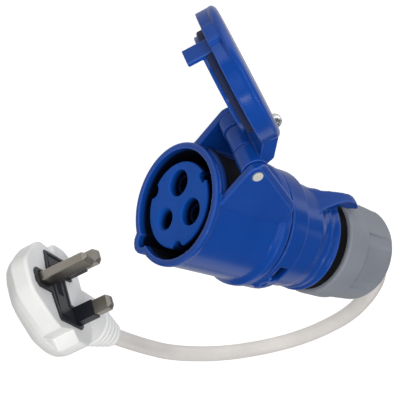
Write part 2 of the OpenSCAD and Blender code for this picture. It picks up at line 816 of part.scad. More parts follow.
module pin_carrier_shape(inset) {
    back = -7.1 + inset;
    lobe = carrier_lobe_w - inset;
    band = carrier_band_w - inset;
    near = carrier_band_0 + inset;
    far = carrier_band_1 - inset;
    leg = carrier_leg_in + inset;
    end = carrier_leg_1 - inset;
    polygon([[back, -lobe + 2], [back + 2, -lobe], [near, -lobe], [near + 2.2, -band],
        [end - 1.5, -band], [end, -band + 1.5], [end, -leg - 0.8], [far, -leg], [far, leg],
        [end, leg + 0.8], [end, band - 1.5], [end - 1.5, band], [near + 2.2, band], [near, lobe],
        [back + 2, lobe], [back, lobe - 2]]);
}

// A prism on the plug face, from y0 to y1 along the pins, over a shape drawn as [X, Z].
module face_prism(y0, y1) {
    translate([0, y1, 0])
        rotate([90, 0, 0])
            linear_extrude(y1 - y0)
                children();
}

module block(x, z, dx, dz, y0, y1) {
    translate([x - dx / 2, y0, z - dz / 2])
        cube([dx, y1 - y0, dz]);
}

module relief_profile() {
    start = relief_end - 24;
    pitch = (relief_end - start) / relief_grooves;
    grooves = [for (i = [0:relief_grooves - 1]) let (
            x = start + pitch * i,
            r = relief_r + (relief_end_r - relief_r) * (i + 0.5) / relief_grooves)
        each [[x, r - relief_groove], [x + 0.35 * pitch, r - relief_groove],
            [x + 0.5 * pitch, r], [x + 0.9 * pitch, r - 0.1]]];
    revolve(concat([[24, 0], [24, relief_r - 2], [30, relief_r + 1], [start - 10, relief_r + 0.6],
        [start - 1, relief_r + 0.2]], grooves, [[relief_end, relief_end_r - 0.8], [relief_end, 0]]));
}

module plug_body() {
    d = plug_depth;
    color(white)
    plug_pose()
    difference() {
        union() {
            skin([plug_outline(0, 0.97, 0.975), plug_outline(-0.4, 0.99, 0.99),
                plug_outline(-1.2, 1, 1), plug_outline(-0.40 * d, 1, 1),
                plug_outline(-0.55 * d, 1, 0.95), plug_outline(-0.70 * d, 0.975, 0.88),
                plug_outline(-0.84 * d, 0.925, 0.78), plug_outline(-0.95 * d, 0.85, 0.66),
                plug_outline(-d, 0.73, 0.52)]);
            intersection() {
                translate([0, -plug_cable_y, 0])
                    relief_profile();
                translate([0, -d - 1.5, -relief_end])
                    cube([2 * relief_end, d + 1.5, 2 * relief_end]);
            }
        }
        face_prism(-pin_carrier_t + pin_carrier_proud, 1)
            pin_carrier_shape(0);
        block(fuse_d_pos, 0, fuse_d + 2, fuse_len + 2.4, -pin_carrier_t - fuse_d, 0);
        for (s = [1, -1])
            face_prism(-grip_depth_y, 1)
                polygon([[4, s * 20.9], [grip_x, s * grip_z], [grip_x + 2.8, s * 24.6],
                    [grip_x + 3, s * 30], [4, s * 30]]);
        translate([0, -plug_cable_y, 0])
            bar(cable_r, relief_end - 20, relief_end + 1);
    }
}

module pin_carrier() {
    y0 = -pin_carrier_t + pin_carrier_proud;
    color([0.22, 0.23, 0.26])
    plug_pose()
    difference() {
        face_prism(y0, pin_carrier_proud)
            pin_carrier_shape(0);
        face_prism(pin_carrier_proud - 0.5, 2)
            pin_carrier_shape(carrier_border);
        block(0, 0, earth_pin_t, earth_pin_w, y0 - 1, 2);
        for (s = [1, -1])
            block(pin_row, s * pin_spacing / 2, power_pin_t + 2 * sleeve_t, sleeve_w, y0 - 1, 2);
        block(fuse_d_pos, 0, 2 * fuse_plate_h, 2 * fuse_plate_w, y0 - 1, 2);
    }
}

module plug_pin(x, z, dx, dz, y1) {
    tip = 1.2;
    y0 = -pin_carrier_t + pin_carrier_proud;
    plug_pose()
    intersection() {
        block(x, z, dx, dz, y0, y1);
        translate([x, 0, z])
            rotate([0, 90, 0])
                linear_extrude(dx + 2, center = true)
                    polygon([[-dz / 2, y0], [dz / 2, y0], [dz / 2, y1 - 1.5 * tip],
                        [dz / 2 - tip, y1], [-dz / 2 + tip, y1], [-dz / 2, y1 - 1.5 * tip]]);
        translate([x, 0, z])
            linear_extrude(dz + 2, center = true)
                polygon([[-dx / 2, y0], [dx / 2, y0], [dx / 2, y1 - 1.5 * tip],
                    [dx / 2 - tip, y1], [-dx / 2 + tip, y1], [-dx / 2, y1 - 1.5 * tip]]);
    }
}

module earth_pin() {
    color(pin_metal)
        plug_pin(0, 0, earth_pin_t, earth_pin_w, earth_pin_len);
}

module power_pin(s) {
    color(pin_metal)
        plug_pin(pin_row, s * pin_spacing / 2, power_pin_t, power_pin_w, power_pin_len);
}

module live_pin() {
    power_pin(1);
}

module neutral_pin() {
    power_pin(-1);
}

module sleeve(s) {
    y0 = -pin_carrier_t + pin_carrier_proud;
    z = s * pin_spacing / 2;
    color(black)
    plug_pose()
    difference() {
        block(pin_row, z, power_pin_t + 2 * sleeve_t, sleeve_w, y0, sleeve_len);
        block(pin_row, z, power_pin_t, power_pin_w, y0 - 1, sleeve_len + 1);
    }
}

module live_sleeve() {
    sleeve(1);
}

module neutral_sleeve() {
    sleeve(-1);
}

module fuse_carrier() {
    w = fuse_plate_w - fuse_gap;
    h = fuse_plate_h - fuse_gap;
    top = pin_carrier_proud;
    cheek = 0.8;
    color([0.16, 0.17, 0.20])
    plug_pose()
    difference() {
        union() {
            block(fuse_d_pos, 0, 2 * h, 2 * w, top - fuse_plate_t, top);
            for (s = [1, -1])
                block(fuse_d_pos + s * (fuse_d / 2 + cheek / 2), 0, cheek, fuse_len - 12,
                    -pin_carrier_t + 1, top - 1);
        }
        block(fuse_d_pos, 0, 5, 8, top - 1.4, top + 1);
    }
}

module fuse() {
    y = pin_carrier_proud - fuse_plate_t - fuse_d / 2;
    color([0.90, 0.88, 0.82])
    plug_pose()
    translate([fuse_d_pos, y, 0])
        cylinder(d = fuse_d, h = fuse_len, center = true);
}

module fuse_clips() {
    y = pin_carrier_proud - fuse_plate_t - fuse_d / 2;
    clip_w = 4.5;
    color(brass)
    plug_pose()
    for (s = [1, -1])
        difference() {
            block(fuse_d_pos, s * (fuse_len / 2 - clip_w / 2), fuse_d + 1.4, clip_w,
                -pin_carrier_t - fuse_d, y);
            translate([fuse_d_pos, y, 0])
                cylinder(d = fuse_d, h = fuse_len + 8, center = true);
        }
}

socket_housing();
contact_carrier();
live_contact();
neutral_contact();
earth_contact();
terminal_screws();
rear_housing();
gland_seal();
cable_grommet();
gland_nut();
lid();
lid_gasket();
lid_rivet();
hinge_pin();
lid_spring();
live_core();
neutral_core();
earth_core();
cable();
plug_body();
pin_carrier();
earth_pin();
live_pin();
neutral_pin();
live_sleeve();
neutral_sleeve();
fuse_carrier();
fuse();
fuse_clips();
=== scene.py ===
import bmesh
import bpy
import numpy as np
from mathutils import Matrix, Vector


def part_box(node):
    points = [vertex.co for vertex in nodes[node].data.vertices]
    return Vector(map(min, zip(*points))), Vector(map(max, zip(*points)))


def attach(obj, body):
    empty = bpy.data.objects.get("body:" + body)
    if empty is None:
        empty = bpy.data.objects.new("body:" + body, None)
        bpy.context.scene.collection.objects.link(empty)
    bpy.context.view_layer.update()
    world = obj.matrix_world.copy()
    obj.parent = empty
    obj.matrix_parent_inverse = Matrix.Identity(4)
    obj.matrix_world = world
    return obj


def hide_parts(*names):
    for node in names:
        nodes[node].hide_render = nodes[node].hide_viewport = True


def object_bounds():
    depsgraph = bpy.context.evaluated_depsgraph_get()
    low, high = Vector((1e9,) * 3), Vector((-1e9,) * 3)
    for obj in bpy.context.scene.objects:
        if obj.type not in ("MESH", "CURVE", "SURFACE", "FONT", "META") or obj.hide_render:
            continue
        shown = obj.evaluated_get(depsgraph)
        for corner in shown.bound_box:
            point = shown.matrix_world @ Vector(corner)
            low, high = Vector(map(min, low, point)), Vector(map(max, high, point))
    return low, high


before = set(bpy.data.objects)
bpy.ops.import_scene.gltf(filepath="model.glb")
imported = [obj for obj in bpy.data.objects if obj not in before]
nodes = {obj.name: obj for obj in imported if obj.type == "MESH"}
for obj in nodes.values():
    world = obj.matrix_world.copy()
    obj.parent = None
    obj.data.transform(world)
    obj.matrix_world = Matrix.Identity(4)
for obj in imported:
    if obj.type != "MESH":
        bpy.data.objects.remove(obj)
cad_box = [list(corner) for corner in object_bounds()]
bpy.context.scene.view_settings.view_transform = "Standard"


# Studio: a plain white table that the lead lies on, glowing from below as a light table does.
# Four soft boxes light it from the hinge's side, the plug's side, the nut's end and the mouth,
# and two narrow strips draw thin lines of light along the shells and the nut.
def new_object(name, data):
    """An object at the origin for a mesh, curve, lamp or camera."""
    thing = bpy.data.objects.new(name, data)
    bpy.context.collection.objects.link(thing)
    return thing


floor_z = cad_box[0][2]
half_table = 4
table_top = bpy.data.meshes.new("table")
table_top.from_pydata(
    [(half_table * x, half_table * y, floor_z) for x, y in ((-1, -1), (1, -1), (1, 1), (-1, 1))],
    [], [(0, 1, 2, 3)])
table = new_object("table", table_top)


def new_finish(name):
    """A material with its node tree and the sockets of its shader."""
    finish = bpy.data.materials.new(name)
    finish.use_nodes = True
    tree = finish.node_tree
    return finish, tree, tree.nodes["Principled BSDF"].inputs


table_white, tree, shader = new_finish("table_white")
shader["Base Color"].default_value = (0.15, 0.15, 0.15, 1)
shader["Roughness"].default_value = 0.6
shader["Emission Color"].default_value = (1, 1, 1, 1)


def add(tree, kind, **settings):
    """A node with the settings and sockets that are named for it."""
    node = tree.nodes.new(kind)
    for label, value in settings.items():
        if label in node.inputs:
            node.inputs[label].default_value = value
        else:
            setattr(node, label, value)
    return node


def feed(tree, value, socket):
    """Links another node's output to a socket, or sets a plain value on it."""
    if isinstance(value, bpy.types.NodeSocket):
        tree.links.new(value, socket)
    else:
        socket.default_value = value


def ramp(tree, value, start, end, low=0.0, high=1.0):
    """Runs from low to high while the value runs from start to end."""
    node = tree.nodes.new("ShaderNodeMapRange")
    for label, given in (("Value", value), ("From Min", start), ("From Max", end),
                         ("To Min", low), ("To Max", high)):
        feed(tree, given, node.inputs[label])
    return node.outputs["Result"]


def mix(tree, share, first, second, kind="FLOAT"):
    """Goes from the first value or colour to the second as the share goes from 0 to 1."""
    node = add(tree, "ShaderNodeMix", data_type=kind)
    first_socket, second_socket, result = {"FLOAT": (2, 3, 0), "RGBA": (6, 7, 2)}[kind]
    for given, socket in ((share, 0), (first, first_socket), (second, second_socket)):
        feed(tree, given, node.inputs[socket])
    return node.outputs[result]


# The table looks even. Its light on the lead fades towards the mouth, and what shiny plastic
# mirrors of it grows brighter beyond the hinge.
rays = tree.nodes.new("ShaderNodeLightPath").outputs
spot = tree.nodes.new("ShaderNodeTexCoord")
along = tree.nodes.new("ShaderNodeSeparateXYZ")
tree.links.new(spot.outputs["Object"], along.inputs["Vector"])
even_glow = 0.97
thrown_glow = ramp(tree, along.outputs["X"], -0.11, -0.04, 0.15, 0.8)
mirrored_glow = ramp(tree, along.outputs["Y"], 0.09, 0.13, 0.42, 1.35)
glow = mix(tree, rays["Is Glossy Ray"], thrown_glow, mirrored_glow)
glow = mix(tree, rays["Is Camera Ray"], glow, even_glow)
tree.links.new(glow, shader["Emission Strength"])
table.data.materials.append(table_white)

sky = bpy.data.worlds.new("studio")
sky.use_nodes = True
sky.node_tree.nodes["Background"].inputs["Color"].default_value = (1, 1, 1, 1)
sky.node_tree.nodes["Background"].inputs["Strength"].default_value = 0.14
bpy.context.scene.world = sky

# Each lamp's name, place, aim, size, power in watts, and whether shiny plastic mirrors it.
for name, place, aim, size, power, mirrored in (
    ("soft_box_key", (-0.37, 0.55, 0.65), (0.03, -0.02, 0.0), (0.6, 0.6), 9.1, False),
    ("soft_box_fill", (0.1, -0.65, 0.6), (0.05, -0.03, 0.0), (0.5, 0.5), 2.6, False),
    ("soft_box_front", (0.65, -0.6, 0.27), (0.0, -0.03, 0.0), (0.5, 0.4), 0.4, True),
    ("soft_box_mouth", (-0.8, -0.1, 0.35), (0.0, 0.0, 0.0), (0.4, 0.4), 1.0, False),
    ("strip_right", (0.8, 0.2, 0.35), (0.03, 0.0, 0.0), (0.9, 0.04), 0.2, True),
    ("strip_top", (0.0, 0.15, 0.95), (0.02, 0.02, 0.0), (0.5, 0.03), 0.6, True),
):
    panel = bpy.data.lights.new(name, "AREA")
    panel.shape = "RECTANGLE"
    panel.size, panel.size_y = size
    panel.energy = power
    lamp = new_object(name, panel)
    lamp.location = place
    lamp.rotation_mode = "QUATERNION"
    lamp.rotation_quaternion = (Vector(place) - Vector(aim)).to_track_quat("Z", "Y")
    lamp.visible_glossy = mirrored

camera = bpy.data.cameras.new("eye")
camera.lens = 108
camera.sensor_width = 36
camera.clip_start = 0.01
eye = new_object("eye", camera)
eye_place = (-0.29436, 0.23978, 0.30255)
eye_side = Vector((0.7534, 0.5816, 0.3068))
eye_rise = Vector((-0.2128, 0.6571, -0.7231))
eye_back = Vector((-0.6221, 0.4795, 0.6189))
eye_turn = Matrix((eye_side, eye_rise, eye_back)).transposed().to_4x4()
eye.matrix_world = Matrix.Translation(eye_place) @ eye_turn
bpy.context.scene.camera = eye


# Cable: a round flexible lead in a soft pale vinyl jacket, from the gland to the plug.
# The jacket is extruded over the cores, so it is smooth, with slow drifts of tone and gloss.
jacket_radius = 0.0039
route = [
    (0.084, 0, 0), (0.098, 0, 0), (0.112, 0, 0), (0.122, -0.0015, -0.0003),
    (0.131, -0.006, -0.001), (0.138, -0.013, -0.0022), (0.144, -0.022, -0.004),
    (0.150, -0.033, -0.0068), (0.1545, -0.046, -0.010), (0.1565, -0.063, -0.015),
    (0.1535, -0.079, -0.0194), (0.146, -0.091, -0.0222), (0.135, -0.0995, -0.0233),
    (0.120, -0.106, -0.0233), (0.1045, -0.110, -0.0233), (0.088, -0.111, -0.0225),
    (0.072, -0.1078, -0.0202), (0.058, -0.103, -0.0169), (0.045, -0.0985, -0.0142),
    (0.0384, -0.096, -0.0129), (0.024, -0.0898, -0.0103),
]
jacket = bpy.data.curves.new("lead", "CURVE")
jacket.dimensions = "3D"
jacket.bevel_depth = jacket_radius
jacket.bevel_resolution = 8
jacket.resolution_u = 10
jacket.use_fill_caps = True
run = jacket.splines.new("BEZIER")
run.bezier_points.add(len(route) - 1)
for knot, point in zip(run.bezier_points, route):
    knot.co = point
    knot.handle_left_type = knot.handle_right_type = "AUTO"
lead = new_object("lead", jacket)


def new_group(kind, name, inputs, outputs):
    """A node group with named inputs, their usual values, and named outputs."""
    group = bpy.data.node_groups.new(name, kind)
    for label, (socket, value) in inputs.items():
        entry = group.interface.new_socket(
            label, in_out="INPUT", socket_type="NodeSocket" + socket)
        if value is not None:
            entry.default_value = value
    for label, socket in outputs.items():
        group.interface.new_socket(label, in_out="OUTPUT", socket_type="NodeSocket" + socket)
    given, made = group.nodes.new("NodeGroupInput"), group.nodes.new("NodeGroupOutput")
    return group, given.outputs, made.inputs


# Moulded surfaces share one grain: a fine texture off the tool, and slow drifts of gloss.
grain, given, made = new_group(
    "ShaderNodeTree", "moulded_grain",
    {"Grain Scale": ("Float", 900.0), "Drift Scale": ("Float", 60.0)},
    {"Height": "Float", "Drift": "Float"})
spot = grain.nodes.new("ShaderNodeTexCoord")
for scale, detail, result in (("Grain Scale", 3.0, "Height"), ("Drift Scale", 4.0, "Drift")):
    noise = add(grain, "ShaderNodeTexNoise", Detail=detail)
    grain.links.new(spot.outputs["Object"], noise.inputs["Vector"])
    grain.links.new(given[scale], noise.inputs["Scale"])
    grain.links.new(noise.outputs["Fac"], made[result])


def moulded_finish(name, deep, pale, gloss, bump=0.00002):
    """Moulded plastic or rubber: two close tones that drift, a drifting gloss, a fine grain."""
    finish, tree, shader = new_finish(name)
    skin = add(tree, "ShaderNodeGroup", node_tree=grain).outputs
    share = ramp(tree, skin["Drift"], 0.3, 0.7)
    tone = mix(tree, share, (*deep, 1), (*pale, 1), "RGBA")
    press = add(tree, "ShaderNodeBump", Strength=0.35, Distance=bump)
    tree.links.new(skin["Height"], press.inputs["Height"])
    tree.links.new(tone, shader["Base Color"])
    tree.links.new(ramp(tree, skin["Drift"], 0.0, 1.0, *gloss), shader["Roughness"])
    tree.links.new(press.outputs["Normal"], shader["Normal"])
    return finish


def tune(finish, **sockets):
    """Sets plain values on a finish's shader."""
    for label, value in sockets.items():
        socket = finish.node_tree.nodes["Principled BSDF"].inputs[label.replace("_", " ")]
        socket.default_value = value


def fit(piece, body, node, finish):
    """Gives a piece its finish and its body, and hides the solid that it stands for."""
    piece.data.materials.append(finish)
    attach(piece, body)
    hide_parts(node)


jacket_vinyl = moulded_finish(
    "jacket_vinyl", deep=(0.59, 0.565, 0.54), pale=(0.65, 0.62, 0.595), gloss=(0.26, 0.34))
tune(jacket_vinyl, Subsurface_Weight=0.08, Subsurface_Radius=(0.002, 0.0018, 0.0016))
fit(lead, "base", "cable", jacket_vinyl)


# Front shell: one moulding in blue polyamide with the rim, the keyway, the hinge ears and the
# flange. The mould leaves soft edges on all of it, and a painted highlight makes them a little
# lighter.
def evaluated(piece):
    """The piece with its modifiers worked out."""
    bpy.context.view_layer.update()
    return piece.evaluated_get(bpy.context.evaluated_depsgraph_get())


def settle(piece):
    """Makes what a piece's modifiers give its own plain mesh."""
    form = bpy.data.meshes.new_from_object(evaluated(piece))
    piece.modifiers.clear()
    piece.data = form
    form.name = piece.name
    form.shade_smooth()
    return form


def mark_edges(form, least=0.03, span=0.25):
    """Stores how sharply each point stands out from its neighbours, or lies in a corner: masks for
    the painted highlight on edges and the painted shade in corners.
    """
    place = np.empty(3 * len(form.vertices))
    form.vertices.foreach_get("co", place)
    place = place.reshape(-1, 3)
    out = np.empty(3 * len(form.vertices))
    form.vertex_normals.foreach_get("vector", out)
    out = out.reshape(-1, 3)
    ends = np.empty(2 * len(form.edges), dtype=np.int64)
    form.edges.foreach_get("vertices", ends)
    a, b = ends.reshape(-1, 2).T
    step = place[b] - place[a]
    length = np.linalg.norm(step, axis=1) + 1e-12
    fall = np.zeros(len(place))
    count = np.zeros(len(place)) + 1e-9
    np.add.at(fall, a, -(step * out[a]).sum(1) / length)
    np.add.at(fall, b, (step * out[b]).sum(1) / length)
    np.add.at(count, a, 1)
    np.add.at(count, b, 1)
    turn = fall / count
    for label, sharpness in (("edge", turn), ("crease", -turn)):
        mask = np.clip((sharpness - least) / span, 0, 1)
        form.attributes.new(label, "FLOAT", "POINT").data.foreach_set("value", mask)


def moulded(node, name, voxel=0.0004, passes=5, faces=60000):
    """A copy of a solid with the soft edges that a mould leaves, and its edges marked."""
    merge_gap = 5e-6
    form = nodes[node].data.copy()
    work = bmesh.new()
    work.from_mesh(form)
    bmesh.ops.remove_doubles(work, verts=work.verts, dist=merge_gap)
    work.to_mesh(form)
    work.free()
    piece = new_object(name, form)
    skin = piece.modifiers.new("skin", "REMESH")
    skin.mode = "VOXEL"
    skin.voxel_size = voxel
    skin.use_smooth_shade = True
    soft = piece.modifiers.new("soft", "SMOOTH")
    soft.factor = 0.5
    soft.iterations = passes
    triangles = 2 * len(evaluated(piece).data.polygons)
    if triangles > faces:
        piece.modifiers.new("thin", "DECIMATE").ratio = faces / triangles
    form = settle(piece)
    form.materials.clear()
    mark_edges(form)
    return piece


front_shell = moulded("socket_housing", "front_shell")


def fade(value, start, end):
    """Runs from 0 to 1 while the value runs from start to end."""
    return np.clip((value - start) / (end - start), 0, 1)


def mark_hollow(piece, depth):
    """Stores how deep each point lies in a recess, from its place in millimetres, as a mask for
    painted shade.
    """
    place = np.empty(3 * len(piece.data.vertices))
    piece.data.vertices.foreach_get("co", place)
    x, y, z = 1000 * place.reshape(-1, 3).T
    mask = depth(x, y, z, np.hypot(y, z))
    piece.data.attributes.new("hollow", "FLOAT", "POINT").data.foreach_set("value", mask)


def front_recesses(x, y, z, r):
    """Painted shade in the mouth behind the rim, and in the pocket between the ears where the lid
    turns.
    """
    mouth_radius, half_pocket, pocket_floor = 24.1, 14.9, 8
    mouth = (r < mouth_radius) * (x > 0.6) * fade(x, 0.87, 3.07)
    between_ears = (abs(z) < half_pocket) * (y > pocket_floor) * (r > mouth_radius)
    pocket = between_ears * fade(x, 3.4, 5.4) * fade(x, 26, 23) * fade(y, 35, 31)
    return np.maximum(mouth, pocket)


mark_hollow(front_shell, front_recesses)


def calc(tree, operation, first, second):
    """One step of arithmetic on two values."""
    node = add(tree, "ShaderNodeMath", operation=operation)
    feed(tree, first, node.inputs[0])
    feed(tree, second, node.inputs[1])
    return node.outputs[0]


# Edges get a painted highlight: convex edges are mixed towards a lighter tone.
lit_edges, given, made = new_group(
    "ShaderNodeTree", "painted_edge_highlight",
    {"Base Color": ("Color", (0.5, 0.5, 0.5, 1)), "Worn Color": ("Color", (1, 1, 1, 1)),
     "Amount": ("Float", 0.5)},
    {"Base Color": "Color"})
rim = add(lit_edges, "ShaderNodeAttribute", attribute_name="edge").outputs["Fac"]
highlight_share = calc(lit_edges, "MULTIPLY", rim, given["Amount"])
lit_edges.links.new(
    mix(lit_edges, highlight_share, given["Base Color"], given["Worn Color"], "RGBA"), made["Base Color"])

# A bore gets painted shade from one depth to another, within its radius about a line along X.
bore, given, made = new_group(
    "ShaderNodeTree", "painted_bore_shade",
    {"Centre Y": ("Float", 0.0), "Radius": ("Float", 0.02), "Start": ("Float", 0.0),
     "End": ("Float", 0.01)},
    {"Depth": "Float"})
spot = bore.nodes.new("ShaderNodeTexCoord")
part = bore.nodes.new("ShaderNodeSeparateXYZ")
across = bore.nodes.new("ShaderNodeCombineXYZ")
centre = bore.nodes.new("ShaderNodeCombineXYZ")
reach = add(bore, "ShaderNodeVectorMath", operation="DISTANCE")
bore.links.new(spot.outputs["Object"], part.inputs["Vector"])
bore.links.new(part.outputs["Y"], across.inputs["Y"])
bore.links.new(part.outputs["Z"], across.inputs["Z"])
bore.links.new(given["Centre Y"], centre.inputs["Y"])
bore.links.new(across.outputs["Vector"], reach.inputs[0])
bore.links.new(centre.outputs["Vector"], reach.inputs[1])
inside = calc(bore, "LESS_THAN", reach.outputs["Value"], given["Radius"])
depth = ramp(bore, part.outputs["X"], given["Start"], given["End"])
bore.links.new(calc(bore, "MULTIPLY", inside, depth), made["Depth"])

# Recesses and inner corners get painted shade: their colour is darkened and their surface dulled,
# because little light comes out of them.
recess, given, made = new_group(
    "ShaderNodeTree", "painted_recess_shade",
    {"Base Color": ("Color", (0.5, 0.5, 0.5, 1)), "Roughness": ("Float", 0.5),
     "Bore": ("Float", 0.0), "Amount": ("Float", 1.0)},
    {"Base Color": "Color", "Roughness": "Float"})
painted_shade_dark = (0.001, 0.0015, 0.004, 1)
corner_share = 0.65
hollow = add(recess, "ShaderNodeAttribute", attribute_name="hollow").outputs["Fac"]
crease = add(recess, "ShaderNodeAttribute", attribute_name="crease").outputs["Fac"]
corner = calc(recess, "MULTIPLY", crease, corner_share)
deepest = calc(recess, "MAXIMUM", calc(recess, "MAXIMUM", hollow, corner), given["Bore"])
shade = calc(recess, "MULTIPLY", deepest, given["Amount"])
recess.links.new(
    mix(recess, shade, given["Base Color"], painted_shade_dark, "RGBA"), made["Base Color"])
recess.links.new(calc(recess, "MAXIMUM", given["Roughness"], shade), made["Roughness"])


def overlay(finish, group, **values):
    """Lays a group over what a finish feeds to its shader so far."""
    tree = finish.node_tree
    shader = tree.nodes["Principled BSDF"].inputs
    layer = add(tree, "ShaderNodeGroup", node_tree=group)
    for label in layer.outputs.keys():
        tree.links.new(shader[label].links[0].from_socket, layer.inputs[label])
        tree.links.new(layer.outputs[label], shader[label])
    for label, value in values.items():
        feed(tree, value, layer.inputs[label.replace("_", " ")])


def edge_lit_finish(name, deep, pale, gloss, edge, lift=0.1, gain=2.2):
    """A moulded finish with a painted highlight along its edges."""
    finish = moulded_finish(name, deep, pale, gloss)
    highlight_tone = [min(1.0, lift + gain * channel) for channel in pale]
    overlay(finish, lit_edges, Worn_Color=(*highlight_tone, 1), Amount=edge)
    return finish


def paint_recess_shade(finish, amount, bores=()):
    """Paints shade into the recesses and the bores of a moulding."""
    tree = finish.node_tree
    deepest = 0.0
    for centre_y, radius, start, end in bores:
        hole = add(tree, "ShaderNodeGroup", node_tree=bore, Radius=radius, Start=start, End=end)
        hole.inputs["Centre Y"].default_value = centre_y
        deepest = calc(tree, "MAXIMUM", deepest, hole.outputs["Depth"])
    overlay(finish, recess, Bore=deepest, Amount=amount)


# Painted shade: the recesses, inner corners and bores of the shells and the carrier are darkened by
# this share.
painted_shade_amount = 0.985
shell_specular = 0.35
# A bore's centre on Y, its radius, and the depths where its painted shade starts and is full.
mouth_bore = (0.0, 0.0241, 0.0012, 0.0036)
keyway_bore = (-0.0233, 0.00315, 0.0012, 0.0036)
blue_polyamide = edge_lit_finish(
    "blue_polyamide", deep=(0.0028, 0.043, 0.247), pale=(0.0042, 0.049, 0.275),
    gloss=(0.17, 0.25), edge=0.5)
paint_recess_shade(blue_polyamide, painted_shade_amount, (mouth_bore, keyway_bore))
tune(blue_polyamide, Specular_IOR_Level=shell_specular)
fit(front_shell, "base", "socket_housing", blue_polyamide)


# Contact carrier: a blue insert with the entry wells, held between the front and rear shells.
# It is a duller plastic than the shells, because it has to stand heat.
def carrier_recesses(x, y, z, r):
    """Painted shade in the entry wells, and on the side of the insert outside them."""
    face_radius, deepest_well = 16.6, 0.88
    wells = np.minimum(fade(x, 2.1, 6.6), deepest_well)
    return np.where(r > face_radius, fade(x, 2, 3.2), wells)


carrier = moulded("contact_carrier", "carrier")
mark_hollow(carrier, carrier_recesses)
entry_wells = (0.0, 0.0166, 0.0022, 0.0054)
carrier_blue = edge_lit_finish(
    "carrier_blue", deep=(0.003, 0.056, 0.3), pale=(0.0045, 0.064, 0.33),
    gloss=(0.38, 0.52), edge=0.1)
paint_recess_shade(carrier_blue, painted_shade_amount, (entry_wells,))
tune(carrier_blue, Specular_IOR_Level=0.1)
fit(carrier, "base", "contact_carrier", carrier_blue)


# Contacts: turned brass tubes with a clamp block and a steel screw each, pushed in from behind.
# They sit deep in the carrier, so only a glint of them shows.
def turned_finish(name, deep, pale, gloss, scale):
    """Bare or plated metal with a fine drift of tone and gloss."""
    finish, tree, shader = new_finish(name)
    shader["Metallic"].default_value = 1.0
    spot = tree.nodes.new("ShaderNodeTexCoord")
    scratch = add(tree, "ShaderNodeTexNoise", Scale=scale, Detail=5.0)
    tree.links.new(spot.outputs["Object"], scratch.inputs["Vector"])
    drift = scratch.outputs["Fac"]
    tree.links.new(mix(tree, drift, (*deep, 1), (*pale, 1), "RGBA"), shader["Base Color"])
    tree.links.new(ramp(tree, drift, 0.0, 1.0, *gloss), shader["Roughness"])
    return finish


def dress(finish, *names):
    """Gives solids that keep their own shape a finish."""
    for name in names:
        nodes[name].data.materials.clear()
        nodes[name].data.materials.append(finish)


contact_brass = turned_finish(
    "contact_brass", deep=(0.48, 0.31, 0.10), pale=(0.62, 0.43, 0.17), gloss=(0.25, 0.4),
    scale=400.0)
dress(contact_brass, "live_contact", "neutral_contact", "earth_contact", "fuse_clips")
plated_steel = turned_finish(
    "plated_steel", deep=(0.55, 0.55, 0.56), pale=(0.72, 0.72, 0.73), gloss=(0.22, 0.36),
    scale=500.0)
dress(plated_steel, "terminal_screws")


# Rear shell: the blue housing over the terminals, with the flange, the snap windows and the cowl.
# It is moulded like the front shell, snaps into it and carries the thread for the nut.
def rear_recesses(x, y, z, r):
    """Painted shade on the inside of the shell, behind its flange and its snap windows."""
    flange_bore, flange_end, windows_end = 25.3, 42.7, 51.5
    behind_flange = (r < flange_bore) * (x < flange_end)
    behind_windows = fade(r, 24.6, 23.6) * (x < windows_end)
    return np.maximum(behind_flange, behind_windows)


rear_shell = moulded("rear_housing", "rear_shell")
mark_hollow(rear_shell, rear_recesses)
# Painted shade: this is the front shell's blue made about a tenth darker, for the lesser light that
# falls on the rear.
rear_blue_shaded = edge_lit_finish(
    "rear_blue_shaded", deep=(0.0024, 0.039, 0.225), pale=(0.0036, 0.045, 0.25), gloss=(0.17, 0.25),
    edge=0.5)
paint_recess_shade(rear_blue_shaded, painted_shade_amount)
tune(rear_blue_shaded, Specular_IOR_Level=shell_specular)
fit(rear_shell, "base", "rear_housing", rear_blue_shaded)


# Gland: a black rubber ring, a rubber grommet and a nut moulded in grey plastic.
# The nut screws on the rear shell's neck and squeezes the grommet on the cable.
black_rubber = moulded_finish(
    "black_rubber", deep=(0.003, 0.003, 0.004), pale=(0.005, 0.005, 0.006), gloss=(0.6, 0.75),
    bump=0.00005)
tune(black_rubber, Specular_IOR_Level=0.1)
dress(black_rubber, "gland_seal", "cable_grommet")
nut_grey = edge_lit_finish(
    "nut_grey", deep=(0.178, 0.19, 0.224), pale=(0.203, 0.217, 0.25), gloss=(0.40, 0.52),
    edge=0.2)
fit(moulded("gland_nut", "nut"), "base", "gland_nut", nut_grey)


# Lid: a blue moulding with a round bead, an inner ring and a nose that holds a mated plug.
# It turns on a steel pin between the ears. A grey rubber sleeve seals it to the mouth, and a
# bright rivet sits on its back.
cover = moulded("lid", "cover", voxel=0.00032, faces=80000)
fit(cover, "lid_body", "lid", blue_polyamide)
# Painted shade: the grey rubber sleeve is coloured dark blue, for the shadow under the lid's skirt
# and the blue light bounced into it.
gasket_painted_shade = moulded_finish(
    "gasket_painted_shade", deep=(0.018, 0.026, 0.075), pale=(0.026, 0.036, 0.092), gloss=(0.5, 0.65),
    bump=0.00004)
tune(gasket_painted_shade, Specular_IOR_Level=0.15)
dress(gasket_painted_shade, "lid_gasket")
bright_steel = turned_finish(
    "bright_steel", deep=(0.84, 0.84, 0.85), pale=(0.90, 0.90, 0.91), gloss=(0.22, 0.28),
    scale=200.0)
dress(bright_steel, "lid_rivet")


# Hinge: a steel pin through both ears, with a wire spring wound on it inside the lid's barrel.
# The pin is cut from bar, so its flat ends are dull; the spring is drawn wire.
pin_steel = turned_finish(
    "pin_steel", deep=(0.62, 0.63, 0.56), pale=(0.74, 0.75, 0.67), gloss=(0.45, 0.6), scale=900.0)
tune(pin_steel, Metallic=0.35)
dress(pin_steel, "hinge_pin")

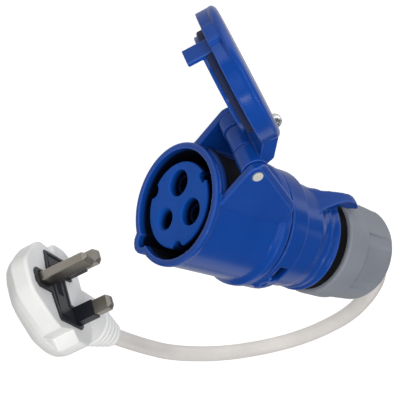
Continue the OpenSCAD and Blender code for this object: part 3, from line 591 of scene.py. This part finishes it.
coil, given, made = new_group(
    "GeometryNodeTree", "wire_coil",
    {"Coil Radius": ("Float", 0.00295), "Wire Radius": ("Float", 0.0004),
     "Turns": ("Float", 5.0), "Height": ("Float", 0.005),
     "Place": ("Vector", (0.0, 0.0, 0.0)), "Finish": ("Material", None)},
    {"Wire": "Geometry"})
coil.is_modifier = True
wind = add(coil, "GeometryNodeCurveSpiral", Resolution=40)
section = add(coil, "GeometryNodeCurvePrimitiveCircle", Resolution=10)
draw = coil.nodes.new("GeometryNodeCurveToMesh")
draw.inputs["Fill Caps"].default_value = True
seat = coil.nodes.new("GeometryNodeTransform")
whole = coil.nodes.new("GeometryNodeRealizeInstances")
coat = coil.nodes.new("GeometryNodeSetMaterial")
for source, socket in (
    (given["Coil Radius"], wind.inputs["Start Radius"]),
    (given["Coil Radius"], wind.inputs["End Radius"]),
    (given["Turns"], wind.inputs["Rotations"]),
    (given["Height"], wind.inputs["Height"]),
    (given["Wire Radius"], section.inputs["Radius"]),
    (wind.outputs["Curve"], draw.inputs["Curve"]),
    (section.outputs["Curve"], draw.inputs["Profile Curve"]),
    (draw.outputs["Mesh"], seat.inputs["Geometry"]),
    (given["Place"], seat.inputs["Translation"]),
    (seat.outputs["Geometry"], whole.inputs["Geometry"]),
    (whole.outputs["Geometry"], coat.inputs["Geometry"]),
    (given["Finish"], coat.inputs["Material"]),
    (coat.outputs["Geometry"], made["Wire"]),
):
    coil.links.new(source, socket)

spring_wire = turned_finish(
    "spring_wire", deep=(0.42, 0.42, 0.43), pale=(0.58, 0.58, 0.59), gloss=(0.25, 0.4), scale=700.0)
wire_radius = 0.0004
low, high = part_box("lid_spring")
spring = new_object("spring", bpy.data.meshes.new("spring"))
winding = spring.modifiers.new("winding", "NODES")
winding.node_group = coil
sizes = {
    "Coil Radius": (high[0] - low[0]) / 2 - wire_radius,
    "Wire Radius": wire_radius,
    "Turns": 5.0,
    "Height": high[2] - low[2] - 2 * wire_radius,
    "Place": ((low[0] + high[0]) / 2, (low[1] + high[1]) / 2, low[2] + wire_radius),
    "Finish": spring_wire,
}
for item in coil.interface.items_tree:
    if item.in_out == "INPUT":
        winding[item.identifier] = sizes[item.name]
settle(spring)
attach(spring, "base")
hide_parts("lid_spring")


# Cores: three copper wires from the terminals to the cable, under clamp screws at the contacts.
# Each has a vinyl cover in its usual colour, extruded and a little glossy.
for name, tone in (("live_core", (0.14, 0.05, 0.02)), ("neutral_core", (0.03, 0.13, 0.5)),
                   ("earth_core", (0.17, 0.38, 0.03))):
    paler = tuple(1.15 * channel for channel in tone)
    dress(moulded_finish(name + "_vinyl", deep=tone, pale=paler, gloss=(0.35, 0.5)), name)


# Plug body: white vinyl moulded over the pin carrier and the end of the cable.
# The ribbed strain relief is in one piece with it, and its soft edges come from the mould.
body_white = edge_lit_finish(
    "body_white", deep=(0.71, 0.71, 0.695), pale=(0.76, 0.76, 0.75), gloss=(0.30, 0.42), edge=0.15)
tune(body_white, Subsurface_Weight=0.06, Subsurface_Radius=(0.002, 0.002, 0.0018))
plug_shell = moulded("plug_body", "plug_shell", voxel=0.00032, passes=4, faces=110000)
fit(plug_shell, "base", "plug_body", body_white)


# Pin carrier and fuse cover: dark thermoset mouldings set in the plug face.
# The body is moulded round the carrier, and the cover snaps in over the fuse.
dark_moulding = moulded_finish(
    "dark_moulding", deep=(0.020, 0.021, 0.026), pale=(0.028, 0.030, 0.036), gloss=(0.32, 0.45))
dress(dark_moulding, "pin_carrier", "fuse_carrier")


# Pins: nickel-plated brass bars with bevelled ends, held in the pin carrier.
# The live and neutral pins wear black moulded sleeves next to the plug face.
sleeve_black = moulded_finish(
    "sleeve_black", deep=(0.007, 0.008, 0.012), pale=(0.010, 0.011, 0.016), gloss=(0.3, 0.42))
dress(sleeve_black, "live_sleeve", "neutral_sleeve")
pin_nickel = turned_finish(
    "pin_nickel", deep=(0.40, 0.375, 0.325), pale=(0.46, 0.43, 0.375), gloss=(0.30, 0.36),
    scale=120.0)
# Painted highlight: the pins' bevels and edges are mixed towards a near-white tone.
overlay(pin_nickel, lit_edges, Worn_Color=(0.9, 0.87, 0.8, 1), Amount=0.9)
for name in ("earth_pin", "live_pin", "neutral_pin"):
    blade = moulded(name, name.replace("pin", "blade"), voxel=0.0002, passes=3, faces=30000)
    fit(blade, "base", name, pin_nickel)


# Fuse: a ceramic cartridge that lies under its cover in the plug.
# Brass clips, pressed from sheet, hold its ends.
fuse_ceramic = moulded_finish(
    "fuse_ceramic", deep=(0.72, 0.69, 0.6), pale=(0.78, 0.75, 0.66), gloss=(0.2, 0.3))
dress(fuse_ceramic, "fuse")
